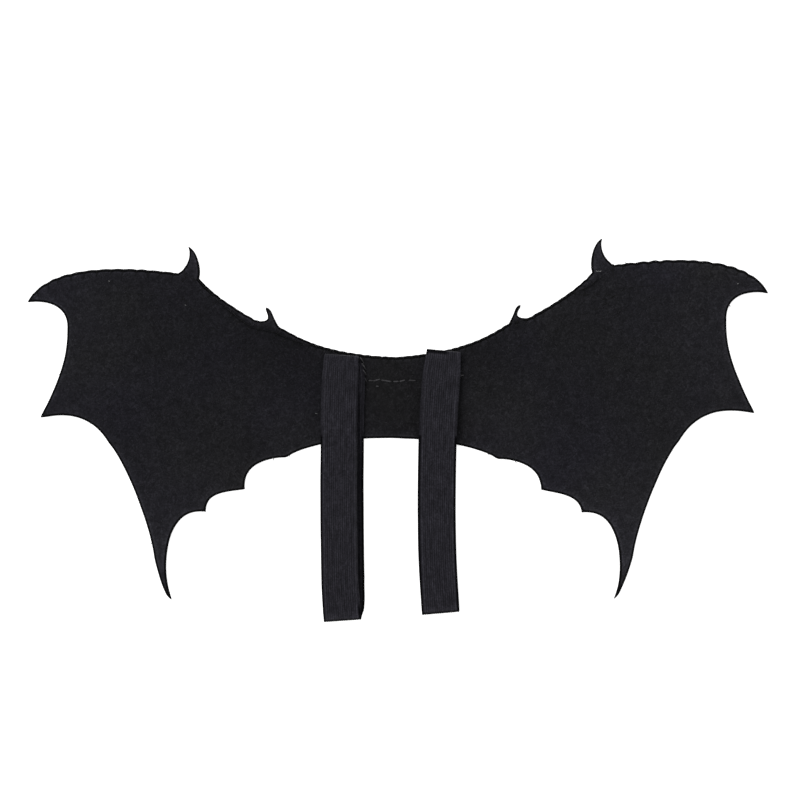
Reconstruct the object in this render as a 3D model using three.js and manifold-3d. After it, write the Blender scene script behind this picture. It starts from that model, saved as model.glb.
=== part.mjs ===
// A pair of costume bat wings in black felt, with an elastic loop for each arm.
//
// They lie flat, with the side that faces the wearer's back upward. One felt panel makes both wings.
// A felt strip with four claws lies under the panel's top edge, and the two elastic loops are sewn
// on over the waist. The felt follows what it lies on, so the panel steps down from the strip to the
// table and its points lift a little.
//
// Millimetres. +X runs along the span, +Y towards the claws and +Z up. The origin is the bottom
// centre of the whole part's box.

import * as THREE from "three";
import { mergeVertices } from "three/addons/utils/BufferGeometryUtils.js";
import Module from "manifold-3d";

const wasm = await Module();
wasm.setup();

const { clamp, degToRad, lerp, smoothstep } = THREE.MathUtils;

// Driving dimensions

const FELT = 2; // thickness of the panel and of the strip
const GAP = 0.3; // clearance between layers that lie on each other
const STRIP_WIDTH = 20; // claw strip, from its top edge down to its lower edge
const STRIP_TAPER = 0.16; // share of the span over which the strip narrows to each wing tip
const EDGE_TUCK = 0.6; // how far the panel's top edge stays behind the strip's
const DRAPE = 26; // distance over which the panel comes down from the strip to the table
const ELASTIC_WIDTH = 25;
const ELASTIC_THICKNESS = 1.3;
const TOP_FOLD_RADIUS = 1.6; // middle of the elastic where it turns over at the wings' top edge
const LOW_FOLD_RADIUS = 3.6; // and where it turns back at its free end
const TOP_PINCH = 0.09; // share of its width that the elastic loses at its top fold
const PINCH_REACH = 0.1; // how far down it is back to its width, as a share of the loop
const LOOP_ARCH = 0.8; // extra height of the upper strand halfway down
const WAIST_CLEAR_Y = -13; // below the waist's lower edge, where the elastic starts down to the table
const WAIST_DROP = 16; // distance over which it comes down

// How finely the curves are cut into straight steps

const OUTLINE_STEP = 4.5;
const FEWEST_STEPS = 8; // on a short edge, such as a claw's
const PANEL_CELL = 10;
const STRIP_STATIONS = 18;
const STRAND_STEPS = 28;
const FOLD_STEPS = 8;

// Outline tables. A row is a corner of both wings, then the edge from it to the next row's corner:
// a cubic curve whose handles are [along, aside] as shares of the chord. Aside is to the left of the
// left wing's direction of travel, and mirrored on the right wing. Swell is how much fuller the edge
// bows on one wing than its handles say.

const TIP = { left: [-246.5, 85.5], right: [246.5, 91.5] };
const STRAIGHT = { lead: [0.33, 0], trail: [0.67, 0] };

// Trailing edge, from the wing tip down and inward to the waist.
const TRAILING_EDGE = [
  { corner: "tip", ...TIP, lead: [0.32, 0.28], trail: [0.74, 0.43] },
  { corner: "crook", left: [-220, 66.5], right: [218.5, 73], lead: [0.33, 0.1], trail: [0.66, 0.06] },
  { corner: "finger", left: [-237.5, 8.5], right: [237, 11.5], lead: [0.32, 0.19], trail: [0.63, 0.29] },
  { corner: "shin", left: [-192.5, -8.5], right: [187, -7.5], lead: [0.22, 0.07], trail: [0.76, 0.05] },
  { corner: "ankle", left: [-162.7, -80], right: [157.1, -80], lead: [0.18, -0.05], trail: [0.9, -0.12] },
  { corner: "toe", left: [-150.5, -112.5], right: [143.6, -112.3], lead: [0.24, 0.22], trail: [0.9, 0.45] },
  {
    corner: "scallop_1", left: [-128, -54.5], right: [122.5, -55],
    lead: [0.2, 0.36], trail: [0.61, 0.15], swell: { left: 1.1, right: 0.88 },
  },
  {
    corner: "scallop_2", left: [-102, -39.5], right: [95.5, -39.8],
    lead: [0.23, 0.4], trail: [0.68, 0.24], swell: { left: 1, right: 0.89 },
  },
  { corner: "scallop_3", left: [-74.5, -18], right: [66.5, -19] },
];
const WAIST_ARCH = { lead: [0.2, 0.13], trail: [0.8, 0.12] };

// Top edge, from the wing tip inward to the dip at the middle. A claw stands on the stretch that
// leaves its row: outer is its side towards the wing tip and inner its side towards the middle.
const TOP_EDGE = [
  { corner: "tip", ...TIP, lead: [0.19, 0.25], trail: [0.78, 0.07] },
  {
    corner: "claw_out", left: [-146.5, 104.5], right: [144, 110], ...STRAIGHT,
    claw: {
      left: [-139.5, 122], right: [136, 127.5],
      outer: { lead: [0.16, -0.16], trail: [0.66, -0.3] },
      inner: { lead: [0.14, 0.16], trail: [0.64, 0.2] },
    },
  },
  { corner: "claw_in", left: [-132.5, 101], right: [129.5, 105], lead: [0.2, -0.06], trail: [0.6, -0.06] },
  {
    corner: "thorn_out", left: [-94.5, 73], right: [86.5, 74.5], ...STRAIGHT,
    claw: {
      left: [-87.8, 81.4], right: [81.5, 83.2],
      outer: { lead: [0.62, -1.25], trail: [0.93, 0.28] },
      inner: { lead: [0.17, 0.2], trail: [0.4, 0.02] },
    },
  },
  { corner: "thorn_in", left: [-80, 69.5], right: [74.5, 71.5], lead: [0.33, -0.11], trail: [0.64, -0.08] },
  { corner: "dip", left: [-1.5, 48.5], right: [-1.5, 48.5] },
];

// Where the panel's top edge falls further behind the strip's: middle, reach along the span, depth.
const TUCKS = [
  { x: -90, reach: 44, depth: 4.6 },
  { x: 129, reach: 17, depth: 4.6 },
];

// Where the felt lifts off the table: middle of the rise, how far it reaches, and its height.
const RISES = [
  { at: "left finger", x: -240, y: 6, reach: 62, rise: 3 },
  { at: "left toe", x: -151, y: -114, reach: 74, rise: 4 },
  { at: "left wing", x: -178, y: 38, reach: 52, rise: 1.2 },
  { at: "right wing", x: 168, y: 30, reach: 58, rise: 1.5 },
  { at: "right toe", x: 143, y: -114, reach: 66, rise: 3 },
  { at: "right finger", x: 240, y: 9, reach: 56, rise: 2.4 },
];

// The arm loops: where the middle of each lies at its top fold, half way and at its free end, the
// tilt of both folds in degrees, and how far its lower strand lies beside its upper one.
const STRAPS = [
  {
    name: "strap_left", topX: -37.4, midX: -39, lowX: -37.5, topY: 50, lowY: -127,
    topTilt: -4, lowTilt: 4, beside: 3.8,
  },
  {
    name: "strap_right", topX: 30.5, midX: 26, lowX: 28.5, topY: 53, lowY: -122,
    topTilt: -5.5, lowTilt: 5, beside: -0.4,
  },
];

const BLACK_FELT = { color: 0x1f1f22, roughness: 0.95, metalness: 0 };
const BLACK_ELASTIC = { color: 0x26252a, roughness: 0.8, metalness: 0 };

// Outline curves

const SIDES = [
  { side: "left", hand: 1 },
  { side: "right", hand: -1 },
];

function bowedEdge(from, to, { lead, trail }, hand) {
  const chord = to.clone().sub(from);
  const aside = new THREE.Vector2(-chord.y, chord.x).multiplyScalar(hand);
  const handle = ([along, off]) =>
    from.clone().addScaledVector(chord, along).addScaledVector(aside, off);
  return new THREE.CubicBezierCurve(from, handle(lead), handle(trail), to);
}

function steppedPoints(curve) {
  return curve.getSpacedPoints(Math.max(FEWEST_STEPS, Math.ceil(curve.getLength() / OUTLINE_STEP)));
}

// The points from a table's first corner to its last on one wing, with or without its claws.
function chain(rows, { side, hand }, withClaws) {
  const corner = (row) => new THREE.Vector2(...row[side]);
  const points = [corner(rows[0])];
  rows.slice(0, -1).forEach((row, i) => {
    const from = corner(row);
    const to = corner(rows[i + 1]);
    const edges = [];
    if (withClaws && row.claw) {
      const point = corner(row.claw);
      edges.push(bowedEdge(from, point, row.claw.outer, hand));
      edges.push(bowedEdge(point, to, row.claw.inner, hand));
    } else {
      const swell = row.swell ? row.swell[side] : 1;
      edges.push(bowedEdge(from, to, row, hand * swell));
    }
    edges.forEach((edge) => points.push(...steppedPoints(edge).slice(1)));
  });
  return points;
}

// Two wings' chains joined at the middle, from the left wing's first corner to the right wing's.
function acrossBothWings(rows, withClaws) {
  const [left, right] = SIDES.map((wing) => chain(rows, wing, withClaws));
  return [...left, ...right.reverse().slice(1)];
}

function inwardNormal(line, i) {
  const before = line[Math.max(0, i - 1)];
  const after = line[Math.min(line.length - 1, i + 1)];
  const tangent = after.clone().sub(before).normalize();
  return new THREE.Vector2(tangent.y, -tangent.x);
}

const shoulderLine = acrossBothWings(TOP_EDGE, false);

// A bump from 1 in the middle to 0 at the reach, flat at both.
function mound(distance, reach) {
  return distance < reach ? (1 - (distance / reach) ** 2) ** 2 : 0;
}

function panelOutline() {
  const tuckAt = (x) =>
    TUCKS.reduce((sum, tuck) => sum + tuck.depth * mound(Math.abs(x - tuck.x), tuck.reach), EDGE_TUCK);
  const topEdge = shoulderLine.map((point, i) =>
    point.clone().addScaledVector(inwardNormal(shoulderLine, i), tuckAt(point.x)));
  const [left, right] = SIDES.map((wing) => chain(TRAILING_EDGE, wing, false).slice(1));
  const waist = steppedPoints(bowedEdge(left.at(-1), right.at(-1), WAIST_ARCH, 1));
  return [...left, ...waist.slice(1, -1), ...right.reverse(), ...topEdge.reverse()];
}

function stripOutline() {
  const shoulder = new THREE.SplineCurve(shoulderLine);
  const lowerStations = [];
  for (let i = 0; i <= STRIP_STATIONS; i++) {
    const share = i / STRIP_STATIONS;
    const taper = Math.min(1, Math.min(share, 1 - share) / STRIP_TAPER);
    const tangent = shoulder.getTangentAt(share);
    const inward = new THREE.Vector2(tangent.y, -tangent.x);
    lowerStations.push(shoulder.getPointAt(share).addScaledVector(inward, STRIP_WIDTH * taper));
  }
  const lowerEdge = steppedPoints(new THREE.SplineCurve(lowerStations)).slice(1, -1);
  return [...acrossBothWings(TOP_EDGE, true), ...lowerEdge.reverse()];
}

// How the felt lies

// Height of the panel's underside above the table.
function liftAt(x, y) {
  const fromEdge = Math.min(...shoulderLine.map((point) => Math.hypot(point.x - x, point.y - y)));
  const onStrip = 1 - smoothstep(fromEdge, STRIP_WIDTH + GAP, STRIP_WIDTH + DRAPE);
  const rises = RISES.map((rise) => rise.rise * mound(Math.hypot(x - rise.x, y - rise.y), rise.reach));
  return Math.max(onStrip * (FELT + GAP), ...rises);
}

const panelTopAt = (x, y) => liftAt(x, y) + FELT;

// Solids

function solidOf(geometry) {
  geometry.deleteAttribute("normal");
  geometry.deleteAttribute("uv");
  const merged = mergeVertices(geometry);
  return new wasm.Manifold(new wasm.Mesh({
    numProp: 3,
    vertProperties: merged.attributes.position.array,
    triVerts: new Uint32Array(merged.index.array),
  }));
}

function geometryOf(solid) {
  const { vertProperties, triVerts } = solid.getMesh();
  const geometry = new THREE.BufferGeometry();
  geometry.setAttribute("position", new THREE.BufferAttribute(vertProperties, 3));
  geometry.setIndex(new THREE.BufferAttribute(triVerts, 1));
  geometry.computeVertexNormals();
  return geometry;
}

function plateOf(outline, depth) {
  return new THREE.ExtrudeGeometry(new THREE.Shape(outline), { depth, bevelEnabled: false });
}

// A sheet of felt that lies as liftAt says, cut to the panel's outline.
function wingPanel() {
  const outline = panelOutline();
  const box = new THREE.Box2().setFromPoints(outline).expandByScalar(PANEL_CELL / 2);
  const size = box.getSize(new THREE.Vector2());
  const middle = box.getCenter(new THREE.Vector2());
  const sheet = new THREE.BoxGeometry(
    size.x, size.y, FELT, Math.round(size.x / PANEL_CELL), Math.round(size.y / PANEL_CELL), 1);
  sheet.translate(middle.x, middle.y, FELT / 2);
  const place = sheet.attributes.position;
  for (let i = 0; i < place.count; i++) {
    place.setZ(i, place.getZ(i) + liftAt(place.getX(i), place.getY(i)));
  }
  const cutterHeight = 50;
  const cutter = plateOf(outline, cutterHeight).translate(0, 0, -cutterHeight / 2);
  return geometryOf(solidOf(sheet).intersect(solidOf(cutter)));
}

// The claw strip lies on the table.
function clawStrip() {
  return plateOf(stripOutline(), FELT);
}

// The middle line of one arm loop, as points of (Y, height, how much of it is lower strand): down the
// upper strand from the top fold, round the free end, up the lower strand and round the top fold.
function loopMiddle(strap) {
  const half = ELASTIC_THICKNESS / 2;
  const spread = ELASTIC_WIDTH + 2 * Math.abs(strap.beside);
  const across = [-0.5, -0.25, 0, 0.25, 0.5].map((share) => strap.topX + share * spread);
  const lowerHeight = (y) => {
    const onPanel = Math.max(...across.map((x) => panelTopAt(x, Math.max(y, WAIST_CLEAR_Y)))) + GAP;
    return onPanel * (1 - smoothstep(WAIST_CLEAR_Y - y, 0, WAIST_DROP)) + half;
  };
  const top = strap.topY - TOP_FOLD_RADIUS - half;
  const low = strap.lowY + LOW_FOLD_RADIUS + half;
  const upperTop = lowerHeight(top) + 2 * TOP_FOLD_RADIUS;
  const upperLow = lowerHeight(low) + 2 * LOW_FOLD_RADIUS;
  const upperHeight = (share) =>
    lerp(upperTop, upperLow, smoothstep(share, 0, 1)) + LOOP_ARCH * Math.sin(Math.PI * share) ** 2;
  const points = [];
  const addRun = (steps, pointAt) => {
    for (let i = 0; i < steps; i++) points.push(new THREE.Vector3(...pointAt(i / steps)));
  };
  addRun(STRAND_STEPS, (share) => [lerp(top, low, share), upperHeight(share), 0]);
  addRun(FOLD_STEPS, (share) => [
    low - LOW_FOLD_RADIUS * Math.sin(Math.PI * share),
    upperLow - LOW_FOLD_RADIUS * (1 - Math.cos(Math.PI * share)),
    share,
  ]);
  addRun(STRAND_STEPS, (share) => [lerp(low, top, share), lowerHeight(lerp(low, top, share)), 1]);
  addRun(FOLD_STEPS, (share) => [
    top + TOP_FOLD_RADIUS * Math.sin(Math.PI * share),
    lowerHeight(top) + TOP_FOLD_RADIUS * (1 - Math.cos(Math.PI * share)),
    1 - share,
  ]);
  return points;
}

// A closed band of elastic: a ring with a four-sided section, each corner moved to where it lies.
function armLoop(strap) {
  const middle = loopMiddle(strap);
  const count = middle.length;
  const lean = new THREE.QuadraticBezierCurve(
    new THREE.Vector2(strap.topX, strap.topY),
    new THREE.Vector2(2 * strap.midX - (strap.topX + strap.lowX) / 2, (strap.topY + strap.lowY) / 2),
    new THREE.Vector2(strap.lowX, strap.lowY));
  const sectionCorners = [
    { out: 1, across: -1 },
    { out: 1, across: 1 },
    { out: -1, across: 1 },
    { out: -1, across: -1 },
  ];
  const band = new THREE.TorusGeometry(2, 1, sectionCorners.length, count);
  const place = band.attributes.position;
  for (let k = 0; k < place.count; k++) {
    const corner = sectionCorners[Math.floor(k / (count + 1)) % sectionCorners.length];
    const i = (k % (count + 1)) % count;
    const ahead = middle[(i + 1) % count].clone().sub(middle[(i + count - 1) % count]);
    const outward = new THREE.Vector2(ahead.y, -ahead.x).normalize();
    const fromMiddle = (corner.out * ELASTIC_THICKNESS) / 2;
    const y = middle[i].x + fromMiddle * outward.x;
    const height = middle[i].y + fromMiddle * outward.y;
    const share = clamp((strap.topY - y) / (strap.topY - strap.lowY), 0, 1);
    const width = ELASTIC_WIDTH * (1 - TOP_PINCH * mound(share, PINCH_REACH));
    const across = (corner.across * width) / 2;
    const tilt = degToRad(lerp(strap.topTilt, strap.lowTilt, share));
    const beside = strap.beside * middle[i].z * Math.min(1, 18 * share, 6 * (1 - share));
    place.setXYZ(k, lean.getPoint(share).x + across + beside, y + Math.tan(tilt) * across, height);
  }
  return band;
}

// Assembly

const part = new THREE.Group();

function addPiece(name, geometry, look) {
  const mesh = new THREE.Mesh(geometry, new THREE.MeshStandardMaterial(look));
  mesh.name = name;
  part.add(mesh);
}

addPiece("wing_panel", wingPanel(), BLACK_FELT);
addPiece("claw_strip", clawStrip(), BLACK_FELT);
STRAPS.forEach((strap) => addPiece(strap.name, armLoop(strap), BLACK_ELASTIC));

const box = new THREE.Box3().setFromObject(part);
const centre = box.getCenter(new THREE.Vector3());
part.position.set(-centre.x, -centre.y, -box.min.z);

export default part;
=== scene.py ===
"""Looks for a pair of costume bat wings in black felt, with an elastic loop for each arm.

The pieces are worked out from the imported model: the felt sheets from its outlines and heights, and
the elastic from the edges of its loops. Stitches, nap and lint lie on those pieces. Metres, +Z up,
with the side that faces the wearer's back upward.
"""

import math
from types import SimpleNamespace

import bmesh
import bpy
import numpy as np
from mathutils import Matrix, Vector, kdtree, noise
from mathutils.bvhtree import BVHTree
from mathutils.geometry import delaunay_2d_cdt


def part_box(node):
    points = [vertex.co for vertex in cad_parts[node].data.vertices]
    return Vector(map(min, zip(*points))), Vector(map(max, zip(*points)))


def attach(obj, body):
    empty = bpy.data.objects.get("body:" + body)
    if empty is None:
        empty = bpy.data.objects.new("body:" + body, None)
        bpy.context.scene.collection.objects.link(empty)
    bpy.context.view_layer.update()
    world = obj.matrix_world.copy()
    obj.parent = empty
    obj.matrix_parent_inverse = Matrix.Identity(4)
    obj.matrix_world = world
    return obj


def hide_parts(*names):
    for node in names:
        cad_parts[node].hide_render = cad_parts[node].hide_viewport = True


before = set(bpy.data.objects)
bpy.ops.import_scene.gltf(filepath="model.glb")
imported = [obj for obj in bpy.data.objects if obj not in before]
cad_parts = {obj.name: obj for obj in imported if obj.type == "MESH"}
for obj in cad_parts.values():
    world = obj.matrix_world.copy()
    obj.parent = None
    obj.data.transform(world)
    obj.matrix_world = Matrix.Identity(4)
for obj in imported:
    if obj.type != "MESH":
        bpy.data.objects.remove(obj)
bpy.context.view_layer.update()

MM = 0.001
SEED = 20


def table(columns, *rows):
    """Rows of values under named columns."""
    return [dict(zip(columns.split(), row)) for row in rows]


# Felt

STRIP_LOW, STRIP_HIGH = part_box("claw_strip")
FELT = STRIP_HIGH.z - STRIP_LOW.z  # thickness, because the strip lies flat
UPWARD = 0.5  # the normals of a sheet's upper side rise more than this
CORNER_TURN = math.radians(38)  # a sharper turn of the outline stays a corner
TIP_TURN = math.radians(105)  # a corner that turns more is a tip
OUTLINE_STEP = 1.1 * MM
SURFACE_STEP = 1.7 * MM
EDGE_INSETS = (0.2 * MM, 0.5 * MM, 1.0 * MM, 1.5 * MM)  # rows of points along the cut edge
EDGE_ROUNDING = 0.8 * MM
CUT_EDGE_SHARE = 0.45  # share of the thickness that is left at the very edge
SETTLE_ROUNDS = 40  # how often heights are averaged, to lose the facets
LUMPS = ((6.5 * MM, 0.06 * MM), (3.2 * MM, 0.06 * MM))  # size and height of the felt's unevenness
WAVE_RISE = 0.5 * MM  # slow waves of the wings off the table
WAVE_LENGTH = 46 * MM
WAVE_CONTRAST = 1.4
WAVE_SEED = 31
WAVE_START = 100 * MM
WAIST_HALF = 66 * MM  # no waves under the elastic
WAIST_LOW = -4.5 * MM  # the waist's lower edge
STRIP_SHOWS = (0.8 * MM, 3.0 * MM)  # how far the strip reaches past the panel: hidden, in full view
EDGE_LIFT = 1.8 * MM  # the panel's top edge off the strip, where the strip shows beyond it
EDGE_LIFT_REACH = 7 * MM
LIFT_ENDS = (-132 * MM, 140 * MM)  # the edge is sewn flat beyond these
LIFT_FADE = 8 * MM
EDGE_FLARE = 0.18 * MM  # how far the cut fibres spread beyond the outline
SCISSOR_WAVE = 0.13 * MM
SCISSOR_LENGTH = 11 * MM
STEADY_REACH = 5 * MM  # the cut is steadier this close to a corner
TIP_SPARE = 0.3 * MM  # how much wider the felt is at a tip
CLAW_SPARE = 0.05 * MM
TIP_REACH = 6 * MM
CLAW_POINT = 0.4 * MM  # how much longer a claw is at its very tip
POINT_REACH = 1.2 * MM
TOE_PLACE = (149 * MM, -103 * MM)  # the right toe is cut finer than the model
TOE_REACH = 12 * MM
TOE_TRIM = 0.4 * MM

# Painted light and shade on the felt and the elastic; places and distances in these tables are in
# millimetres

RIM_REACH = 6 * MM
RIM_SHADE_AND_HIGHLIGHT = table(  # painted shade on the cut edge, and a painted highlight on the band beside it
    "distance tone", (0.0, 0.12), (1.25, 0.12), (1.65, 1.65), (2.5, 1.35), (3.5, 1.12), (6.0, 1.0))
RIM_ON_STRIP = 3 * MM  # how much of that is skipped where the edge lies on the strip
TIP_RIM_SQUEEZE = 0.4  # how much narrower the rim's painted shade and highlight are at a claw's tip
TIP_RIM_ENDS = (6 * MM, 14 * MM)
LIFTED_EDGE_SHADE_AND_HIGHLIGHT = table(  # painted shadow along the lifted edge and a painted highlight beside it, in place of the rim's
    "distance tone", (0.0, 0.35), (0.9, 0.45), (2.0, 1.15), (5.0, 1.0))
FOLD_SHADE_AND_HIGHLIGHT = table(  # painted shade on the elastic's turn at a free end, and a painted highlight on the stretch before it
    "distance tone", (0.0, 0.12), (1.0, 0.12), (1.75, 1.4), (3.0, 1.25), (6.0, 1.0))
PULL_SHADE = 0.9  # how much painted shade darkens the felt where a stitch pulls it thin
TONES = table(  # painted light and shade on the felt: where it is paler or darker, and bluer
    "at x y reach tone blue",
    ("left shoulder", -66, 66, 58, 0.75, 0.95),
    ("left middle", -131, 66, 60, 0.93, 1.02),
    ("left top", -205, 100, 50, 1.1, 1.03),
    ("waist", -2, 28, 60, 0.9, 0.93),
    ("right shoulder", 58, 60, 40, 0.9, 0.97),
    ("left edge", -243, 50, 90, 1.3, 1.05),
    ("left toe", -158, -100, 120, 1.52, 1.0),
    ("right wing", 190, 75, 140, 1.14, 1.0),
    ("right top", 180, 114, 45, 1.14, 1.0),
    ("right edge", 245, 60, 95, 1.34, 1.0),
    ("left flank", -66, -3, 42, 1.16, 1.0),
    ("right flank", 72, 0, 52, 1.26, 0.98),
    ("right toe", 150, -100, 130, 1.75, 1.0),
)

# Nap of the felt: loose fibres on its face and along its cut edges

NAP_COUNT = 5200
CLAW_NAP_COUNT = 130
NAP_LENGTHS = (1.2 * MM, 5.0 * MM)
NAP_LIFTS = (0.03 * MM, 0.22 * MM)
NAP_RADIUS = 0.036 * MM
FIBRE_STEPS = 3
FIBRE_ARCH = np.array([-0.6, 1.0, 0.8, -0.6])  # shares of a fibre's lift along it
FIBRE_TAPER = np.array([0.5, 1.0, 0.9, 0.4])  # shares of its radius
FLECK_COUNT = 620  # clumps of paler fibre, in patches
FLECK_LENGTHS = (1.4 * MM, 3.6 * MM)
FLECK_RADIUS = 0.26 * MM
FLECK_PATCHES = 24 * MM
PATCH_EDGES = (-0.25, 0.5)  # levels of the patches' noise: no fibres, and most
FUZZ_SPACING = 2.6 * MM  # of the fibres along a cut edge
FUZZ_LENGTHS = (0.4 * MM, 1.0 * MM)
FUZZ_ROOT = 0.3 * MM  # how deep they start in the felt
FUZZ_DROPS = (0.25, 0.7)  # below the felt's face, as shares of its thickness
LINT = table(  # specks on the felt, in millimetres; lift is of their middle off the felt
    "x y length lift",
    (-192.0, 99.2, 1.0, -0.2),
    (-141.4, 83.2, 1.0, -0.22),
    (226.0, 97.5, 0.8, 0.2),
    (-54.3, 11.2, 1.6, -0.21),
    (133.4, 105.8, 3.4, 0.25),
)
LINT_RADIUS = 0.26 * MM
LINT_SEED = 80

# Sewing

THREAD_STEPS = 14
STITCH_ZONES = table(  # the overcast top edge from left to right, in millimetres
    "ends spacing dent",
    (-133, 8.8, 0.55),
    (-72, 6.4, 0.45),
    (72, 5.2, 0.5),
    (133, 6.4, 0.5),
    (1000, 8.8, 0.9),
)
STITCH_JITTER = 0.14
TIP_CLEAR = 9 * MM  # no stitch this close to a wing tip
DENT_SPREAD = (0.35, 1)
DENT_SHARE = 0.23  # half width of a dent as a share of the spacing
BULGE_SHARE = 0.5  # the same of the bulge round it
BULGE_RISE = 0.35  # as a share of the dent's depth
FURTHEST_STITCH = 5.6 * MM  # a wider way from the panel's edge to the strip's is a claw
OVERCAST_REACHES = (3.52 * MM, 4.84 * MM)
OVERCAST_SLANTS = (0.78 * MM, 1.56 * MM)
BLACK_THREAD = 0.2 * MM  # radius
SEAM_INSET = 16 * MM  # running seam below the top edge, in black thread
SEAM_CLEAR = 6 * TIP_CLEAR
SEAM_DASHES = (3.36 * MM, 5.04 * MM)
SEAM_GAPS = (2.24 * MM, 3.36 * MM)
SEAM_RISE = 0.4  # in radii
STRAP_CLEAR = 4 * MM
PALE_THREAD = 0.52 * MM  # radius
PALE_DASHES = table(  # the seam between the straps and two stitches off it, in millimetres and radii
    "start end rise",
    ((-19.1, 33.1), (-17.0, 33.1), 0.5),
    ((-16.1, 32.9), (-12.0, 34.0), 0.5),
    ((-10.8, 33.4), (-4.4, 32.4), 0.9),
    ((-2.9, 32.5), (0.4, 32.5), 0.2),
    ((1.4, 32.6), (4.6, 33.4), 0.6),
    ((6.9, 33.3), (12.2, 33.1), -0.5),
    ((-14.4, 29.4), (-12.9, 29.2), 0.1),
    ((40.3, 36.3), (43.7, 36.7), 0.1),
)
WHIP_THREAD = 0.8 * PALE_THREAD
WHIP_STITCHES = table(  # from the left strap's edge down to the felt, in millimetres
    "x y", (-23.4, 46.3), (-22.3, 42.4), (-21.9, 38.6), (-21.7, 34.4))
WHIP_TOP = 1.9 * MM  # off the felt, on top of the elastic
WHIP_FOOT = 1.5 * MM  # how far beside the edge the felt's height is read
WHIP_ROUTE = table(  # in millimetres from the stitch's place, and off the elastic's top or the felt
    "x y base rise",
    (-1.6, 2.0, "top", -0.7),
    (-1.1, 1.4, "top", 0.0),
    (-0.3, 0.3, "top", -0.2),
    (0.4, -1.0, "felt", 0.3),
    (0.7, -2.0, "felt", -0.6),
)
OVERCAST_PULL = {"reach": 4 * MM, "depth": 0.3}  # how stitches pull the felt thin
PULL_INSET = 1.5 * MM
PALE_PULL = {"reach": 1.8 * MM, "depth": 0.5}

# Elastic

RIBS = 15
RIB_DEPTH = 0.2 * MM
RIB_PHASES = (0.0, 0.12, 0.35, 0.65, 0.88)
RIB_UNIT = 1.0  # the band's coordinates count ribs
SELVEDGE = 1.75 * MM
ROUND_STEPS = 5
STRAND_STEP = 1.2 * MM
STRAND_SWAY = 0.2 * MM
SWAY_LENGTH = 26 * MM
LOW_SHIFT_REACH = 28 * MM  # places along a strap are counted from its free end
UNDER_TURN = (0.47, 0.53)  # where the upper strand turns into the lower, as shares of the loop
UNDER_STARTS = (1 * MM, 8 * MM)
UNDER_ENDS = (12 * MM, 34 * MM)
CURL_MARGIN = 4.2 * MM  # how much of the band's right edge curls into the loop
CURL_FROM_TOP = (2 * MM, 16 * MM)
CURL_FROM_END = (4 * MM, 30 * MM)
LOWER_CURL = 0.5  # share of the curl on the strand underneath
INNER_SHADE = 0.62  # painted shade on the face inside the loop, where the strand underneath lies in the upper one's shadow
# painted shade on the selvedges: darkest where they are free, less where something lies behind
FREE_SELVEDGE_SHADE = 0.12
BACKED_SELVEDGE_SHADE = 0.8  # where the waist or the strap's other strand lies behind it
BACK_STARTS = (6 * MM, 16 * MM)
SIDE_RIB_HIGHLIGHT = 1.2  # painted highlight on the rib next to each selvedge
FREE_OF_FELT = (-1.4 * MM, -0.4 * MM)  # past the felt's edge: where free edges begin, and in full
TOP_FOLD = 0.4 * MM  # how much wider the painted shade of the upper turn is
TABLE_CLEAR = 0.02 * MM
STRAPS = table(  # curl in degrees; sideways shifts of the free end and the lower strand in millimetres
    "node curl low_shift under_shift back_shows seed",
    ("strap_left", 69, 0.7, 1.4, 1, 41),
    ("strap_right", 22, 0.0, 0.0, 0, 42),
)

# Colours, and tones as (place, tone) along a pattern's level from 0 to 1

WHITE = (1.0, 1.0, 1.0)
FELT_COLOUR = (0.0114, 0.0112, 0.0132)
CLAW_LIGHTNESS = 1.36
FELT_STREAKS = ((0.5, 1.0 * MM), (-0.9, 1.3 * MM))  # direction and width of the fibres on the felt
STREAK_SHAPE = (1.0, 4.0, 1.0)
STREAK_TONES = ((0.5, 0.95), (0.62, 1.05), (0.74, 1.4))
CLUMP_TONES = ((0.3, 0.84), (0.5, 1.0), (0.72, 1.22))
TUFT_TONES = ((0.36, 0.68), (0.52, 0.97), (0.72, 1.6))
FELT_TINTS = ((0.32, (1.0, 1.01, 0.94)), (0.68, (0.99, 0.97, 1.08)))
ELASTIC_COLOUR = (0.0183, 0.0175, 0.0223)
ELASTIC_GLOSS = 0.05
WEAR_TONES = ((0.3, 0.9), (0.5, 1.0), (0.7, 1.12))
CORD_TONES = ((0.0, 0.6), (0.4, 0.97), (1.0, 1.17))
GRAIN_TONES = ((0.33, 0.6), (0.5, 1.0), (0.68, 1.55))
RIB_TONES = ((0.33, 0.7), (0.5, 1.0), (0.67, 1.36))
RIB_CELLS = (0.8, 1 / (9 * MM), 1.0)
FIBRE_PATCHES = (0.35, 0.65)
FIBRE_COLOURS = table(
    "name dark light",
    ("black_thread", (0.007, 0.007, 0.007), (0.014, 0.014, 0.014)),
    ("pale_thread", (0.030, 0.029, 0.032), (0.062, 0.060, 0.064)),
    ("felt_fibre", (0.008, 0.008, 0.010), (0.070, 0.069, 0.077)),
    ("felt_clump", (0.010, 0.010, 0.012), (0.032, 0.031, 0.035)),
    ("lint", (0.15, 0.15, 0.15), (0.25, 0.25, 0.25)),
)


# Curves and noise

def chord_lengths(points):
    steps = np.linalg.norm(np.diff(points, axis=0), axis=1)
    return np.concatenate([[0.0], np.cumsum(steps)])


def hermite(points, slopes, marks, places):
    """Values at places on the smooth curve that passes each point at its mark with its slope."""
    span = np.clip(np.searchsorted(marks, places, side="right") - 1, 0, len(marks) - 2)
    length = (marks[span + 1] - marks[span])[:, None]
    share = (places - marks[span])[:, None] / length
    rest = 1 - share
    start = (1 + 2 * share) * rest**2 * points[span] + share * rest**2 * length * slopes[span]
    end = share**2 * (3 - 2 * share) * points[span + 1] - share**2 * rest * length * slopes[span + 1]
    return start + end


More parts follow.
